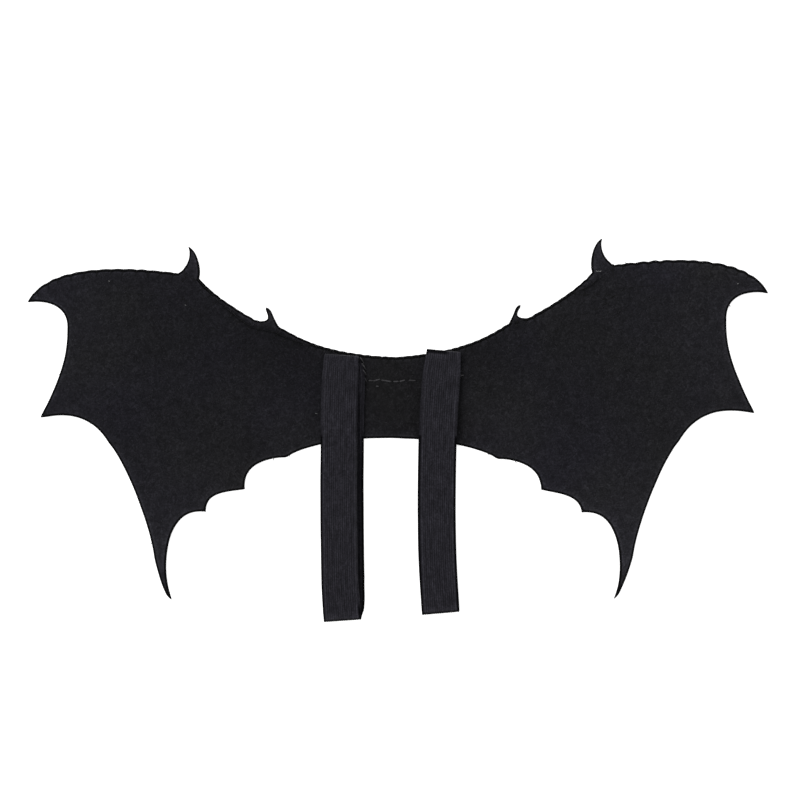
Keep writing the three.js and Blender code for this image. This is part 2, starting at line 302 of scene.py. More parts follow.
def redrawn(points, count):
    """An open row of points as a smooth line in the given number of even steps."""
    fineness = 12
    marks = chord_lengths(points)
    slopes = np.gradient(points, marks, axis=0, edge_order=2 if len(points) > 2 else 1)
    fine = np.linspace(0, marks[-1], fineness * len(points))
    run = chord_lengths(hermite(points, slopes, marks, fine))
    even = np.interp(np.linspace(0, run[-1], count + 1), run, fine)
    return hermite(points, slopes, marks, even)


def place_at(mark, run, line):
    return np.array([np.interp(mark, run, line[:, axis]) for axis in (0, 1)])


def noise_at(places, size, seed):
    """Smooth noise from about -1 to 1 at each place, with lumps of about the given size."""
    shift_per_seed = (17.3, 5.1, 2.7)
    shift = Vector([part * seed for part in shift_per_seed])
    return np.array([noise.noise(Vector((*place, 0.0)[:3]) / size + shift) for place in places])


def draws(seed):
    return np.random.default_rng([SEED, seed])


def smooth_step(values, low, high):
    share = np.clip((values - low) / (high - low), 0, 1)
    return share * share * (3 - 2 * share)


def bell(distances, reach):
    return np.exp(-((distances / reach) ** 2))


def tones_at(distances, tones):
    """What a table of tones says at each distance."""
    return np.interp(distances, [row["distance"] * MM for row in tones], [row["tone"] for row in tones])


def unit(vectors):
    tiny = 1e-12
    return vectors / np.maximum(np.linalg.norm(vectors, axis=-1, keepdims=True), tiny)


def tree_of(points):
    tree = kdtree.KDTree(len(points))
    for i, point in enumerate(points):
        tree.insert((*point, 0.0), i)
    tree.balance()
    return tree


def nearest(points, targets):
    """Which target is nearest to each point, and how far away it is."""
    tree = tree_of(targets)
    found = [tree.find((*point, 0.0)) for point in points]
    return np.array([index for _, index, _ in found]), np.array([distance for _, _, distance in found])


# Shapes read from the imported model

def cad_shape(node):
    shape = bmesh.new()
    shape.from_mesh(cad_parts[node].data)
    bmesh.ops.remove_doubles(shape, verts=shape.verts, dist=0.001 * MM)
    shape.normal_update()
    return shape


def face_borders(node, is_inside, is_outside):
    """Closed rows of points between two kinds of face, each with the inside kind on its left."""
    shape = cad_shape(node)
    following = {}
    for face in filter(is_inside, shape.faces):
        for loop in face.loops:
            if is_outside(loop.link_loop_radial_next.face):
                following[loop.vert] = loop.link_loop_next.vert
    rows = []
    while following:
        corner = next(iter(following))
        row = []
        while corner in following:
            row.append(corner.co[:])
            corner = following.pop(corner)
        rows.append(np.array(row))
    shape.free()
    return rows


def without_straight_points(row, tolerance=0.002 * MM):
    """The closed row's points that its shape needs."""
    kept = [row[0]]
    for i in range(1, len(row)):
        along = row[(i + 1) % len(row)] - kept[-1]
        aside = row[i] - kept[-1]
        if abs(along[0] * aside[1] - along[1] * aside[0]) > tolerance * np.linalg.norm(along):
            kept.append(row[i])
    return np.array(kept)


def outline_of(node):
    """A flat node's outline from above, counterclockwise and smooth, with its corners and its tips."""
    rows = face_borders(
        node, lambda face: face.normal.z > UPWARD, lambda face: abs(face.normal.z) <= UPWARD)
    row = without_straight_points(max(rows, key=len)[:, :2])
    before = unit(row - np.roll(row, 1, axis=0))
    after = np.roll(before, -1, axis=0)
    turns = np.arccos(np.clip((before * after).sum(axis=1), -1, 1))
    corners = np.flatnonzero(turns > CORNER_TURN)
    spans = []
    for first, last in zip(corners, np.append(corners[1:], corners[0] + len(row))):
        span = row[np.arange(first, last + 1) % len(row)]
        count = max(2, round(chord_lengths(span)[-1] / OUTLINE_STEP))
        spans.append(redrawn(span, count)[:-1])
    outward = before[:, 0] * after[:, 1] > before[:, 1] * after[:, 0]
    return np.concatenate(spans), row[corners], row[outward & (turns > TIP_TURN)]


def upper_side(node):
    """The corners and triangles of a flat node's upper side."""
    shape = cad_shape(node)
    corners = np.array([corner.co[:] for corner in shape.verts])
    shape.verts.index_update()
    upward = [[corner.index for corner in face.verts] for face in shape.faces if face.normal.z > UPWARD]
    shape.free()
    return corners, np.array(upward)


def height_reader(points, triangles):
    """A function that gives the height of a surface at (x, y), or at the nearest place on it."""
    smallest = 1e-10
    first, second, third = (points[triangles[:, k]] for k in range(3))
    normals = np.cross(second - first, third - first)
    kept = normals[:, 2] > smallest
    first, normals = first[kept], normals[kept]
    flat = points * (1, 1, 0)
    tree = BVHTree.FromPolygons(flat.tolist(), triangles[kept].tolist())

    def height(x, y):
        place, _, index, _ = tree.find_nearest((x, y, 0.0))
        origin, normal = first[index], normals[index]
        aside = (place.x - origin[0]) * normal[0] + (place.y - origin[1]) * normal[1]
        return origin[2] - aside / normal[2]

    return height


# Meshes

def linked(name, data):
    """A new object in the scene."""
    made = bpy.data.objects.new(name, data)
    bpy.context.scene.collection.objects.link(made)
    return made


def new_piece(name, vertices, faces, look):
    mesh = bpy.data.meshes.new(name)
    mesh.from_pydata(vertices.tolist(), [], faces)
    mesh.update()
    mesh.shade_smooth()
    mesh.materials.append(look)
    piece = linked(name, mesh)
    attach(piece, "root")
    return piece


def store(piece, name, kind, field, values):
    """Stores a value for each of the piece's corners under a name, for its material."""
    layer = piece.data.attributes.new(name, kind, "POINT")
    layer.data.foreach_set(field, values.ravel())


def store_painted_light(piece, tones):
    # painted light and shade for each corner
    store(piece, "tone", "FLOAT_VECTOR", "vector", tones)  # red, green and blue


def strands(name, paths, radii, look, sides):
    """One piece of closed round strands: a row of points each, and the radius at each step of a row."""
    askew = np.array([0.11, 0.23, 0.97])  # a direction that no strand runs in
    paths = np.asarray(paths)
    count, steps, _ = paths.shape
    ahead = unit(np.gradient(paths, axis=1))
    beside = np.zeros_like(paths)
    beside[:, 0] = unit(np.cross(ahead[:, 0], unit(askew)))
    for k in range(1, steps):
        along = (beside[:, k - 1] * ahead[:, k]).sum(axis=1, keepdims=True)
        beside[:, k] = unit(beside[:, k - 1] - along * ahead[:, k])
    over = np.cross(ahead, beside)
    turns = np.arange(sides) * 2 * math.pi / sides
    round_way = np.cos(turns)[:, None] * beside[:, :, None] + np.sin(turns)[:, None] * over[:, :, None]
    rings = paths[:, :, None] + radii[:, None, None] * round_way
    starts = paths[:, 0] - radii[0] * ahead[:, 0]
    ends = paths[:, -1] + radii[-1] * ahead[:, -1]
    vertices = np.concatenate([rings.reshape(count, -1, 3), starts[:, None], ends[:, None]], axis=1)
    faces = []
    start_tip, last = steps * sides, (steps - 1) * sides
    for s in range(sides):
        t = (s + 1) % sides
        faces += [(r + s, r + t, r + sides + t, r + sides + s) for r in range(0, last, sides)]
        faces += [(start_tip, t, s), (start_tip + 1, last + s, last + t)]
    shift = np.arange(count) * vertices.shape[1]
    all_faces = [tuple(first + corner for corner in face) for first in shift.tolist() for face in faces]
    return new_piece(name, vertices.reshape(-1, 3), all_faces, look)


def threads(name, paths, radius, look, sides):
    """Strands of even thickness with rounded ends."""
    end_share = 0.6
    radii = np.full(THREAD_STEPS + 1, radius)
    radii[[0, -1]] *= end_share
    return strands(name, paths, radii, look, sides)


# Felt sheets

def outward_normals(outline):
    along = unit(np.roll(outline, -1, axis=0) - np.roll(outline, 1, axis=0))
    return np.stack([along[:, 1], -along[:, 0]], axis=1)


def edge_distances(points, outline):
    """How far each point lies from the closed outline."""
    index, _ = nearest(points, outline)
    distances = []
    for start, end in ((index - 1, index), (index, (index + 1) % len(outline))):
        along = outline[end] - outline[start]
        share = ((points - outline[start]) * along).sum(axis=1) / (along**2).sum(axis=1)
        closest = outline[start] + np.clip(share, 0, 1)[:, None] * along
        distances.append(np.linalg.norm(points - closest, axis=1))
    return np.minimum(*distances)


def honeycomb(low, high, step):
    """Points of a honeycomb over a rectangle."""
    rows = np.arange(low[1], high[1], step * math.sqrt(0.75))
    columns = np.arange(low[0], high[0], step)
    return np.array([(x + step / 2 * (k % 2), y) for k, y in enumerate(rows) for x in columns])


def inside(points, outline):
    """Which points lie inside the closed outline."""
    result = np.zeros(len(points), bool)
    for (x, y), (next_x, next_y) in zip(outline, np.roll(outline, -1, axis=0)):
        level = (points[:, 1] >= min(y, next_y)) & (points[:, 1] < max(y, next_y))
        cross = x + (points[level, 1] - y) * (next_x - x) / (next_y - y)
        result[level] ^= points[level, 0] < cross
    return result


def settled(heights, triangles):
    """Heights averaged with their neighbours' again and again."""
    ends = np.concatenate([triangles[:, [0, 1]], triangles[:, [1, 2]], triangles[:, [2, 0]]])
    ends = np.concatenate([ends, ends[:, ::-1]])
    counts = np.bincount(ends[:, 0], minlength=len(heights))
    for _ in range(SETTLE_ROUNDS):
        sums = np.bincount(ends[:, 0], weights=heights[ends[:, 1]], minlength=len(heights))
        heights = 0.5 * heights + 0.5 * sums / np.maximum(counts, 1)
    return heights


def flat_triangles(outline, seed):
    """The area inside the outline as points, outline first, and triangles."""
    least_share = 0.93  # of its inset that a point keeps in narrow places
    jitter = 0.2  # in steps
    clear = EDGE_INSETS[-1] + 0.6 * SURFACE_STEP
    same_point = 1e-9
    normals = outward_normals(outline)
    rows = [outline]
    for inset in EDGE_INSETS:
        ring = outline - inset * normals
        rows.append(ring[edge_distances(ring, outline) > least_share * inset])
    grid = honeycomb(outline.min(axis=0), outline.max(axis=0), SURFACE_STEP)
    grid = grid + draws(seed).uniform(-jitter, jitter, grid.shape) * SURFACE_STEP
    grid = grid[inside(grid, outline)]
    rows.append(grid[edge_distances(grid, outline) > clear])
    points = np.concatenate(rows)
    rim = [(i, (i + 1) % len(outline)) for i in range(len(outline))]
    _, _, faces, origins, _, _ = delaunay_2d_cdt(
        [Vector(point) for point in points], rim, [], 0, same_point, True)
    index = np.array([origin[0] for origin in origins])
    triangles = index[np.array(faces)]
    return points, triangles[inside(points[triangles].mean(axis=1), outline)]


def pulled_share(points, pulls):
    """How much stitches pull the felt thin at each point."""
    share = np.zeros(len(points))
    tree = tree_of(points)
    for pull in pulls:
        for _, i, distance in tree.find_range((*pull["place"], 0.0), pull["reach"]):
            share[i] = max(share[i], pull["depth"] * (1 - distance / pull["reach"]) ** 2)
    return share


def felt_sheet(name, node, outline, look, tones, rim_places, seed, waves=None, pulls=()):
    """A closed sheet of felt that lies where the node lies, with rounded cut edges."""
    points, triangles = flat_triangles(outline, seed)
    height = height_reader(*upper_side(node))
    middles = settled(np.array([height(x, y) for x, y in points]), triangles) - FELT / 2
    if waves is not None:
        middles = middles + waves(points)
    from_rim = edge_distances(points, outline)
    from_rim[:len(outline)] = 0
    from_edge = np.minimum(from_rim / EDGE_ROUNDING, 1)
    fullness = CUT_EDGE_SHARE + (1 - CUT_EDGE_SHARE) * np.sqrt(1 - (1 - from_edge) ** 2)
    pull = pulled_share(points, pulls)
    halves = fullness * (1 - pull) * FELT / 2
    lump_seed = seed + 3
    relief = sum(rise * noise_at(points, size, lump_seed + i) for i, (size, rise) in enumerate(LUMPS))
    upper = np.column_stack([points, middles + halves + relief * from_edge])
    lower = np.column_stack([points, middles - halves])
    count, rim = len(points), len(outline)
    walls = [(count + i, count + (i + 1) % rim, (i + 1) % rim, i) for i in range(rim)]
    faces = triangles.tolist() + (triangles[:, ::-1] + count).tolist() + walls
    piece = new_piece(name, np.concatenate([upper, lower]), faces, look)
    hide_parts(node)
    # painted shade where stitches pull the felt thin, times the painted light and shade at each point
    store_painted_light(piece, np.tile((1 - PULL_SHADE * pull)[:, None] * tones(points), (2, 1)))
    rim_shares = np.minimum(rim_places(points, from_rim) / RIM_REACH, 1)
    store(piece, "rim", "FLOAT", "value", np.tile(rim_shares, 2))
    return SimpleNamespace(
        piece=piece, top=upper, triangles=triangles, height=height_reader(upper, triangles))


def felt_light_and_shade(points):
    """Painted light and shade on the felt at each point, as red, green and blue."""
    tones = np.ones((len(points), 3))
    for spot in TONES:
        distances = np.hypot(points[:, 0] - spot["x"] * MM, points[:, 1] - spot["y"] * MM)
        change = spot["tone"] * np.array([1, 1, spot["blue"]]) - 1
        tones *= 1 + (1 - smooth_step(distances, 0, spot["reach"] * MM))[:, None] * change
    return tones


# Materials

def add_node(tree, kind, inputs=None, **settings):
    """A new shader node: inputs are values or the sockets that they come from."""
    made = tree.nodes.new(kind)
    for name, value in settings.items():
        setattr(made, name, value)
    for name, value in (inputs or {}).items():
        if isinstance(value, bpy.types.NodeSocket):
            tree.links.new(value, made.inputs[name])
        else:
            made.inputs[name].default_value = value
    return made


def new_material(name, **constants):
    """A material, its node tree, its shader with constant sockets set, and places on the object."""
    made = bpy.data.materials.new(name)
    made.use_nodes = True
    tree = made.node_tree
    shader = tree.nodes["Principled BSDF"]
    for socket, value in constants.items():
        shader.inputs[socket.replace("_", " ").title().replace("Ior", "IOR")].default_value = value
    return made, tree, shader, add_node(tree, "ShaderNodeTexCoord").outputs["Object"]


def shaded(colour, level):
    return tuple(level * part for part in colour)


def noise_node(tree, place, size, **inputs):
    return add_node(
        tree, "ShaderNodeTexNoise", {"Vector": place, "Scale": 1 / size, **inputs}).outputs["Fac"]


def ramp(tree, factor, stops):
    """Colours along a factor from 0 to 1: stops are (place, colour)."""
    made = add_node(tree, "ShaderNodeValToRGB", {"Fac": factor})
    elements = made.color_ramp.elements
    while len(elements) < len(stops):
        elements.new(position=0.5)
    for element, (place, colour) in zip(elements, stops):
        element.position = place
        element.color = (*colour, 1)
    return made.outputs["Color"]


def tone_ramp(tree, factor, tones, colour=WHITE):
    return ramp(tree, factor, [(place, shaded(colour, tone)) for place, tone in tones])


def multiplied(tree, *colours):
    factor, first, second, result = 0, 6, 7, 2  # the sockets that the node uses for colours
    product = colours[0]
    for colour in colours[1:]:
        inputs = {factor: 1.0, first: product, second: colour}
        mixed = add_node(tree, "ShaderNodeMix", inputs, data_type="RGBA", blend_type="MULTIPLY")
        product = mixed.outputs[result]
    return product


def bump(tree, height, distance, strength, under=None):
    inputs = {"Height": height, "Distance": distance, "Strength": strength}
    if under is not None:
        inputs["Normal"] = under
    return add_node(tree, "ShaderNodeBump", inputs).outputs["Normal"]


def stored(tree, name, output):
    """What a piece stores at its corners under a name, as a colour or as a level."""
    return add_node(tree, "ShaderNodeAttribute", attribute_name=name).outputs[output]


def fibre_streaks(tree, place, angle, size):
    """Short streaks that run one way, as fibres on felt do."""
    turned = add_node(
        tree, "ShaderNodeMapping", {"Vector": place, "Rotation": (0, 0, angle), "Scale": STREAK_SHAPE},
        vector_type="TEXTURE").outputs["Vector"]
    return noise_node(tree, turned, size, Detail=2.0, Roughness=0.55, Distortion=1.4)


def felt_material(name, lightness):
    """Black pressed felt: dark fibres in clumps, with paler ones on top that run several ways."""
    made, tree, shader, place = new_material(
        name, roughness=0.95, specular_ior_level=0.06, sheen_weight=0.05, sheen_roughness=0.5)
    clumps = noise_node(tree, place, size=6 * MM, Detail=4.0, Roughness=0.65)
    tufts = noise_node(tree, place, size=2.3 * MM, Detail=2.0, Roughness=0.5, Distortion=1.8)
    slow = noise_node(tree, place, size=75 * MM, Detail=2.0, Roughness=0.5)
    layers = [
        tone_ramp(tree, clumps, CLUMP_TONES, shaded(FELT_COLOUR, lightness)),
        tone_ramp(tree, tufts, TUFT_TONES), ramp(tree, slow, FELT_TINTS)]
    relief = bump(tree, tufts, distance=0.4 * MM, strength=0.6)
    for angle, size in FELT_STREAKS:
        streaks = fibre_streaks(tree, place, angle, size)
        layers.append(tone_ramp(tree, streaks, STREAK_TONES))
        relief = bump(tree, streaks, distance=0.14 * MM, strength=0.6, under=relief)
    # painted shade on the cut edge and a painted highlight beside it, then the painted light and shade
    # stored at the corners
    rim_shade_and_highlight = [(row["distance"] * MM / RIM_REACH, row["tone"]) for row in RIM_SHADE_AND_HIGHLIGHT]
    layers += [tone_ramp(tree, stored(tree, "rim", "Fac"), rim_shade_and_highlight), stored(tree, "tone", "Color")]
    tree.links.new(multiplied(tree, *layers), shader.inputs["Base Color"])
    tree.links.new(relief, shader.inputs["Normal"])
    return made


def wave_node(tree, flat, direction, period, **inputs):
    """Even bands from 0 to 1 along one direction."""
    node_radians = 20  # the wave texture counts so many to a unit
    inputs = {"Vector": flat, "Scale": 2 * math.pi / (node_radians * period), **inputs}
    return add_node(tree, "ShaderNodeTexWave", inputs, bands_direction=direction).outputs["Fac"]


def elastic_material():
    """Ribbed black elastic: cross threads over the cords, painted shade and highlight stored at its
    corners, and a faint gloss, less where shade is painted.
    """
    made, tree, shader, place = new_material(
        "black_elastic", roughness=0.65, sheen_weight=0.03, sheen_roughness=0.4)
    # the gloss is scaled by the painted shade and highlight stored as tone
    gloss = add_node(
        tree, "ShaderNodeMath", {0: stored(tree, "tone", "Fac"), 1: ELASTIC_GLOSS}, operation="MULTIPLY")
    tree.links.new(gloss.outputs["Value"], shader.inputs["Specular IOR Level"])
    flat = add_node(tree, "ShaderNodeUVMap", uv_map="band").outputs["UV"]
    ribs = wave_node(tree, flat, "X", RIB_UNIT)
    cross_threads = wave_node(tree, flat, "Y", period=0.8 * MM, Distortion=1.0, Detail=2.0)
    wear = noise_node(tree, place, size=11 * MM, Detail=4.0, Roughness=0.65)
    grain = noise_node(tree, place, size=0.9 * MM, Detail=3.0, Roughness=0.65)
    cells = add_node(tree, "ShaderNodeMapping", {"Vector": flat, "Scale": RIB_CELLS}).outputs["Vector"]
    uneven = noise_node(tree, cells, RIB_UNIT, Detail=3.0, Roughness=0.6)
    coloured = multiplied(
        tree, tone_ramp(tree, wear, WEAR_TONES, ELASTIC_COLOUR), tone_ramp(tree, ribs, CORD_TONES),
        tone_ramp(tree, grain, GRAIN_TONES), tone_ramp(tree, uneven, RIB_TONES),
        stored(tree, "tone", "Color"))
    relief = bump(tree, cross_threads, distance=0.12 * MM, strength=0.8)
    relief = bump(tree, grain, distance=0.12 * MM, strength=0.6, under=relief)
    tree.links.new(coloured, shader.inputs["Base Color"])
    tree.links.new(relief, shader.inputs["Normal"])
    return made


def fibre_material(name, dark, light):
    """Spun thread or loose fibre, uneven in colour along its length."""
    made, tree, shader, place = new_material(name, roughness=0.9, specular_ior_level=0.08)
    patches = noise_node(tree, place, size=1.4 * MM, Detail=2.0, Roughness=0.6)
    colours = ramp(tree, patches, list(zip(FIBRE_PATCHES, (dark, light))))
    tree.links.new(colours, shader.inputs["Base Color"])
    spin = noise_node(tree, place, size=0.3 * MM, Detail=2.0, Roughness=0.5)
    tree.links.new(bump(tree, spin, distance=0.08 * MM, strength=0.7), shader.inputs["Normal"])
    return made


# Outlines of the felt, with the marks that scissors and stitches leave

def top_edge_of(outline):
    """The stretch of an outline from its left tip over the top to its right tip."""
    left, right = outline[:, 0].argmin(), outline[:, 0].argmax()
    count = (left - right) % len(outline)
    return outline[(right + np.arange(count + 1)) % len(outline)][::-1]


def overcast_places(panel_outline, strip_outline):
    """The stitches over the top edge: place on the panel's edge, place on the strip's, ways and dent."""
    edge = top_edge_of(panel_outline)
    run = chord_lengths(edge)
    along = unit(np.gradient(edge, axis=0))
    strip_tree = tree_of(strip_outline)
    draw = draws(seed=1)
    stitches = []
    mark = TIP_CLEAR
    while mark < run[-1] - TIP_CLEAR:
        place = place_at(mark, run, edge)
        ahead = along[np.searchsorted(run, mark)]
        zone = next(zone for zone in STITCH_ZONES if place[0] < zone["ends"] * MM)
        spacing = zone["spacing"] * MM
        _, index, distance = strip_tree.find((*place, 0.0))
        dent = zone["dent"] * MM * draw.uniform(*DENT_SPREAD)
        if distance < FURTHEST_STITCH:
            stitches.append({
                "panel": place, "strip": strip_outline[index], "ahead": ahead,
                "out": np.array([-ahead[1], ahead[0]]), "spacing": spacing, "dent": dent})
        mark += spacing * (1 + draw.uniform(-STITCH_JITTER, STITCH_JITTER))
    return stitches


def cut_outline(outline, corners, tips, stitches, side, seed, tip_spare, tip_point=0.0):
    """The outline with the unsteady line of the scissors, its tips, and the dents of the stitches."""
    steady = np.minimum(1, nearest(outline, corners)[1] / STEADY_REACH)
    from_tip = nearest(outline, tips)[1]
    spare = tip_spare * bell(from_tip, TIP_REACH) + tip_point * bell(from_tip, POINT_REACH)
    move = EDGE_FLARE + SCISSOR_WAVE * noise_at(outline, SCISSOR_LENGTH, seed)
    for stitch in stitches:
        distance = np.linalg.norm(outline - stitch[side], axis=1)
        dip = bell(distance, DENT_SHARE * stitch["spacing"])
        bulge = bell(distance, BULGE_SHARE * stitch["spacing"])
        move += stitch["dent"] * (BULGE_RISE * bulge - dip)
    trim = TOE_TRIM * bell(nearest(outline, [TOE_PLACE])[1], TOE_REACH)
    return outline + (steady * move + spare - trim)[:, None] * outward_normals(outline)


# Threads and fibres

def on_felt(height, places, lifts):
    """Points on the felt at the given places, each lifted by its own amount."""
    heights = np.array([height(x, y) for x, y in places])
    return np.column_stack([places, heights + lifts])


def sewn_path(height, start, end, radius, rise):
    """A stitch that comes out of the felt at its start and goes back in at its end."""
    shares = np.array([0.0, 0.04, 0.16, 0.5, 0.84, 0.96, 1.0])
    drops = np.array([0.9, 0.1, 0.0, 0.1, 0.9])  # below its top, in radii
    depth = 2.4  # of its ends, in radii
    lifts = radius * np.array([-depth, *(rise - drops), -depth])
    places = start + shares[:, None] * (end - start)
    return redrawn(on_felt(height, places, lifts), THREAD_STEPS)


def overcast_path(height, stitch, draw):
    """Black thread from the panel's face over its edge and the strip's."""
    out = stitch["out"]
    bite = 0.7 * stitch["dent"]
    inset, outset, way_back = 0.4 * MM, 0.1 * MM, 0.6 * MM
    sunk_share, slant_share = 0.1, 0.3
    lifts = BLACK_THREAD * np.array([-3.0, 0.3, 0.5, 0.4])
    turn_height, end_height = 0.75 * FELT, 0.3 * FELT
    lowest = 1.5 * BLACK_THREAD
    slant = draw.uniform(*OVERCAST_SLANTS) * stitch["ahead"]
    inner = stitch["panel"] - draw.uniform(*OVERCAST_REACHES) * out - slant
    edge = stitch["panel"] - (inset + bite) * out
    outer = stitch["strip"] + (outset - bite) * out + slant_share * slant
    places = np.array([inner, inner + sunk_share * (edge - inner), (inner + edge) / 2, edge])
    down = [(*outer, turn_height), (*(outer - way_back * out), end_height)]
    path = redrawn(np.concatenate([on_felt(height, places, lifts), down]), THREAD_STEPS)
    path[:, 2] = np.maximum(path[:, 2], lowest)
    return path


def hidden_seam_paths(height, panel_outline):
    """Running stitches in black thread below the top edge, none from one strap to the other."""
    edge = top_edge_of(panel_outline)
    along = unit(np.gradient(edge, axis=0))
    line = edge - SEAM_INSET * np.column_stack([-along[:, 1], along[:, 0]])
    run = chord_lengths(line)
    strap_boxes = [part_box(strap["node"]) for strap in STRAPS]
    low = min(corner.x for corner, _ in strap_boxes) - STRAP_CLEAR
    high = max(corner.x for _, corner in strap_boxes) + STRAP_CLEAR
    draw = draws(seed=2)
    paths = []
    mark = SEAM_CLEAR
    while mark < run[-1] - SEAM_CLEAR:
        dash = draw.uniform(*SEAM_DASHES)
        start, end = place_at(mark, run, line), place_at(mark + dash, run, line)
        if end[0] < low or start[0] > high:
            paths.append(sewn_path(height, start, end, BLACK_THREAD, SEAM_RISE))
        mark += dash + draw.uniform(*SEAM_GAPS)
    return paths


def whip_path(height, x, y):
    """A whip stitch from on top of the elastic's edge down to the felt beside it."""
    levels = {"top": height(x, y) + WHIP_TOP, "felt": height(x + WHIP_FOOT, y)}
    points = [
        (x + row["x"] * MM, y + row["y"] * MM, levels[row["base"]] + row["rise"] * MM)
        for row in WHIP_ROUTE]
    return redrawn(np.array(points), THREAD_STEPS)


def wandering(starts, headings, lengths, bends):
    """Flat rows of points that start at the starts and bend on their way."""
    rows = [starts]
    for k in range(FIBRE_STEPS):
        turn = headings + bends * (k - 1) / 2
        step = (lengths / FIBRE_STEPS)[:, None] * np.column_stack([np.cos(turn), np.sin(turn)])
        rows.append(rows[-1] + step)
    return np.stack(rows, axis=1)


def lifted(height, rows, lifts):
    """Flat rows of points as rows on the felt."""
    return on_felt(height, rows.reshape(-1, 2), lifts.ravel()).reshape(*rows.shape[:2], 3)


def face_fibres(sheet, triangles, count, lengths, seed, patches=None):
    """Fibres that lie about on the felt's face, mostly short ones, all over or in patches of a size."""
    shortness, bend = 2.5, 0.9
    draw = draws(seed)
    corners = sheet.top[triangles][:, :, :2]
    sides = corners[:, 1:] - corners[:, :1]
    areas = np.abs(sides[:, 0, 0] * sides[:, 1, 1] - sides[:, 0, 1] * sides[:, 1, 0])
    if patches is not None:
        areas = areas * smooth_step(noise_at(corners.mean(axis=1), patches, seed), *PATCH_EDGES)
    chosen = draw.choice(len(triangles), count, p=areas / areas.sum())
    mixes = draw.dirichlet((1, 1, 1), count)
    roots = (corners[chosen] * mixes[:, :, None]).sum(axis=1)
    shortest, longest = lengths
    spans = shortest + (longest - shortest) * draw.random(count) ** shortness
    rows = wandering(roots, draw.uniform(0, 2 * math.pi, count), spans, draw.normal(0, bend, count))
    return lifted(sheet.height, rows, draw.uniform(*NAP_LIFTS, count)[:, None] * FIBRE_ARCH)


def edge_fibres(sheet, outline, seed):
    """Fibres that stand out of the felt's cut edge."""
    spread, bend = 0.7, 1.2
    draw = draws(seed)
    count = int(chord_lengths(outline)[-1] / FUZZ_SPACING)
    chosen = draw.integers(0, len(outline), count)
    normals = outward_normals(outline)[chosen]
    headings = np.arctan2(normals[:, 1], normals[:, 0]) + draw.normal(0, spread, count)
    starts = outline[chosen] - FUZZ_ROOT * normals
    rows = wandering(starts, headings, draw.uniform(*FUZZ_LENGTHS, count), draw.normal(0, bend, count))
    drops = draw.uniform(*FUZZ_DROPS, count)[:, None] * FELT * np.ones(FIBRE_STEPS + 1)
    return lifted(sheet.height, rows, -drops)


def lint_path(height, speck, seed):
    """A curled speck of lint that lies on the felt."""
    count, curl = 5, 0.2
    start = np.array([speck["x"] - speck["length"] / 2, speck["y"]]) * MM
    along = np.linspace(0, 1, count) * speck["length"]
    places = start + np.column_stack([along, curl * draws(seed).normal(0, 1, count)]) * MM
    return redrawn(on_felt(height, places, np.full(count, speck["lift"] * MM)), THREAD_STEPS)


# Elastic loops

def matched(row, reference):
    """The closed row turned, and reversed if need be, to run beside the reference."""
    tries = [np.roll(way, -k, axis=0) for way in (row, row[::-1]) for k in range(len(row))]
    return min(tries, key=lambda tried: np.linalg.norm(tried - reference, axis=1).sum())


def band_rails(node):
    """The loop's left and right edge lines, in step from its highest Y, and the band's thickness."""
    side, face = 0.8, 0.6  # how far normals point sideways: at least there, and at most
    rows = face_borders(
        node, lambda part: abs(part.normal.x) > side, lambda part: abs(part.normal.x) < face)
    by_side = sorted(rows, key=lambda row: row[:, 0].mean())
    outer_left = max(by_side[:2], key=lambda row: chord_lengths(row)[-1])
    outer_left = np.roll(outer_left, -outer_left[:, 1].argmax(), axis=0)
    if outer_left[len(outer_left) // 4, 2] < outer_left[-len(outer_left) // 4, 2]:
        outer_left = np.roll(outer_left[::-1], 1, axis=0)
    left, right = ([matched(row, outer_left) for row in pair] for pair in (by_side[:2], by_side[2:]))
    thickness = np.median(np.linalg.norm(left[0] - left[1], axis=1))
    return sum(left) / 2, sum(right) / 2, thickness


def loop_stations(node):
    """Even stations round the loop, as middles and spans to the right; its thickness and length."""
    wrap = 6  # points repeated at both ends, to close the curve smoothly
    left, right, thickness = band_rails(node)
    rails = np.concatenate([left, right], axis=1)
    padded = np.concatenate([rails[-wrap:], rails, rails[:wrap + 1]])
    marks = chord_lengths((padded[:, :3] + padded[:, 3:]) / 2)
    slopes = np.gradient(padded, marks, axis=0)
    length = marks[wrap + len(rails)] - marks[wrap]
    count = round(length / STRAND_STEP)
    points = hermite(padded, slopes, marks, marks[wrap] + length * np.arange(count) / count)
    return (points[:, :3] + points[:, 3:]) / 2, points[:, 3:] - points[:, :3], thickness, length


def elastic_section(width, thickness, selvedge_shade):
    """The closed cross-section, ribs on both faces and round selvedges: (across, out, rib count, painted
    shade and highlight).
    """
    fullness, inner_fade = 0.7, 0.6
    tone_inset = SELVEDGE / 8
    radius = thickness / 2
    ribbed = width - 2 * SELVEDGE
    face = []
    for rib in range(RIBS):
        tone = SIDE_RIB_HIGHLIGHT if rib in (0, RIBS - 1) else 1.0
        for phase in RIB_PHASES:
            crown = math.sin(math.pi * phase) ** fullness
            across = ribbed * ((rib + phase) / RIBS - 0.5)
            face.append((across, radius - RIB_DEPTH * (1 - crown), rib + phase, tone))
    for inset, tone in ((0, SIDE_RIB_HIGHLIGHT), (tone_inset, selvedge_shade)):
        face.append((ribbed / 2 + inset, radius - RIB_DEPTH, RIBS + 0.5, tone))
    for turn in np.linspace(math.pi / 2, -math.pi / 2, 2 * ROUND_STEPS):
        across = width / 2 - SELVEDGE / 2 * (1 - math.cos(turn))
        face.append((across, radius * math.sin(turn), RIBS + 0.5, selvedge_shade))
    face = np.array(face)
    section = np.concatenate([face, face * (-1, -1, 1, 1)])
    # painted shade on the face inside the loop
    section[:, 3] *= INNER_SHADE + (1 - INNER_SHADE) * smooth_step(section[:, 1], -inner_fade * radius, 0)
    return section


